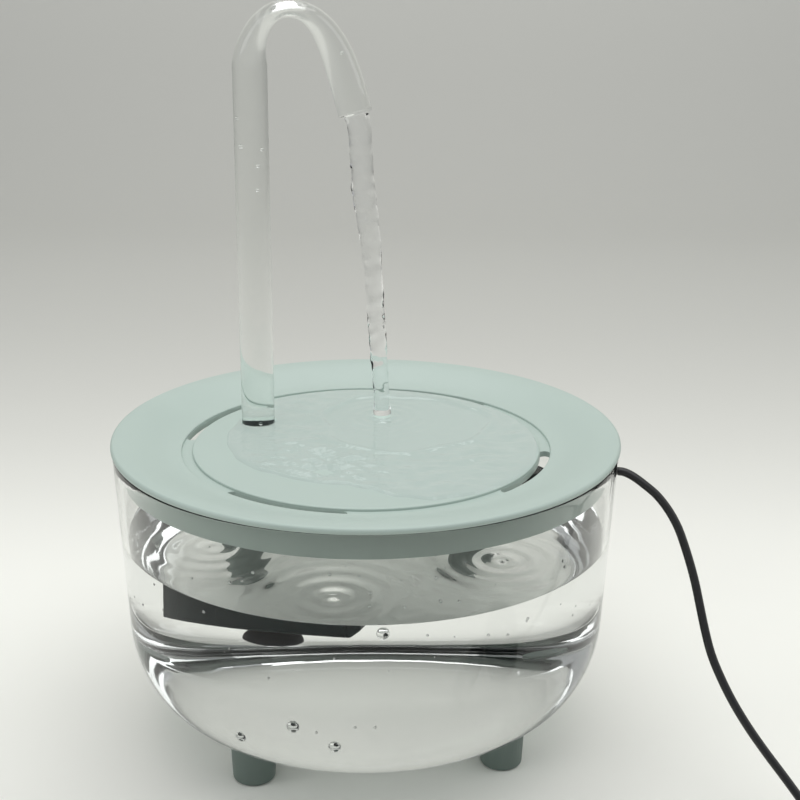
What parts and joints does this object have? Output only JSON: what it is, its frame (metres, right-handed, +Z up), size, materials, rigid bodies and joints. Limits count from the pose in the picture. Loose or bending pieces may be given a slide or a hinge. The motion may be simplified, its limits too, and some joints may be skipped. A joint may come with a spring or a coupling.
{
  "type": "pet water fountain",
  "caption": "Clear round bowl on stub feet with a drinking tray as its lid, a turning gooseneck spout and a submersible pump plugged in under the tray.",
  "frame": {"origin": "on the floor under the middle of the bowl", "axes": "+Z up along the bowl's axis; -Y is the front; +X is the side where the cable leaves the rim"},
  "size_m": [0.2738, 0.2536, 0.2869],
  "materials": {
    "clear_plastic": "clear, glossy, moulded",
    "foot_plastic": "satin, grey green",
    "sage_plastic": "satin, sage green",
    "pump_plastic": "fine matt, black",
    "potting": "black potting resin",
    "seal_rubber": "soft silicone, red brown",
    "black_rubber": "soft, matt black",
    "cable_sheath": "smooth PVC sheath, black",
    "ceramic_white": "ground, white",
    "impeller_plastic": "white, moulded",
    "ferrite": "dark grey ferrite",
    "soft_grey": "soft grey silicone",
    "tie_plastic": "black strap",
    "plug_steel": "bright stamped steel",
    "white_plastic": "white moulded contact carrier"
  },
  "bodies": {
    "root": {"bowl": "clear_plastic", "foot_front_left": "foot_plastic", "foot_front_right": "foot_plastic", "foot_back_left": "foot_plastic", "foot_back_right": "foot_plastic", "cord_tube": "cable_sheath", "cord_coil": "cable_sheath", "cord_tail": "cable_sheath", "coil_tie": "tie_plastic", "usb_plug_body": "cable_sheath", "usb_plug_shell": "plug_steel", "usb_plug_tongue": "white_plastic"},
    "tray": {"tray": "sage_plastic", "skirt_grommet": "black_rubber", "pump_front_cover": "pump_plastic", "pump_housing": "pump_plastic", "pump_rear_cap": "pump_plastic", "pump_stator": "potting", "pump_seal": "seal_rubber", "pump_front_bush": "ceramic_white", "pump_rear_bush": "ceramic_white", "pump_shaft": "ceramic_white", "pump_suction_cup": "black_rubber", "pump_gland": "black_rubber", "pump_lead": "cable_sheath"},
    "impeller": {"impeller": "impeller_plastic", "rotor_magnet": "ferrite"},
    "intake_cap": {"intake_cap": "pump_plastic"},
    "flow_dial": {"flow_dial": "pump_plastic"},
    "spout_bush": {"spout_bush": "soft_grey"},
    "spout": {"spout_tube": "clear_plastic"}
  },
  "joints": [
    {"name": "tray_lift", "type": "slide", "parent": "root", "child": "tray", "axis": [0, 0, 1], "range_m": [0, 0.1]},
    {"name": "spout_pull", "type": "slide", "parent": "tray", "child": "spout_bush", "axis": [0, 0, 1], "range_m": [0, 0.034]},
    {"name": "spout_turn", "type": "hinge", "parent": "spout_bush", "child": "spout", "pos_m": [-0.0453, 0.02408, 0.1], "axis": [0, 0, 1], "continuous": true},
    {"name": "impeller_spin", "type": "hinge", "parent": "tray", "child": "impeller", "pos_m": [-0.0453, 0.02408, 0.06125], "axis": [0.9781, -0.2079, 0], "continuous": true},
    {"name": "intake_cap_pull", "type": "slide", "parent": "tray", "child": "intake_cap", "axis": [-0.9781, 0.2079, 0], "range_m": [0, 0.006]},
    {"name": "flow_dial_turn", "type": "hinge", "parent": "intake_cap", "child": "flow_dial", "pos_m": [-0.0541, 0.02595, 0.06125], "axis": [0.9781, -0.2079, 0], "range_deg": [0, 60]}
  ]
}
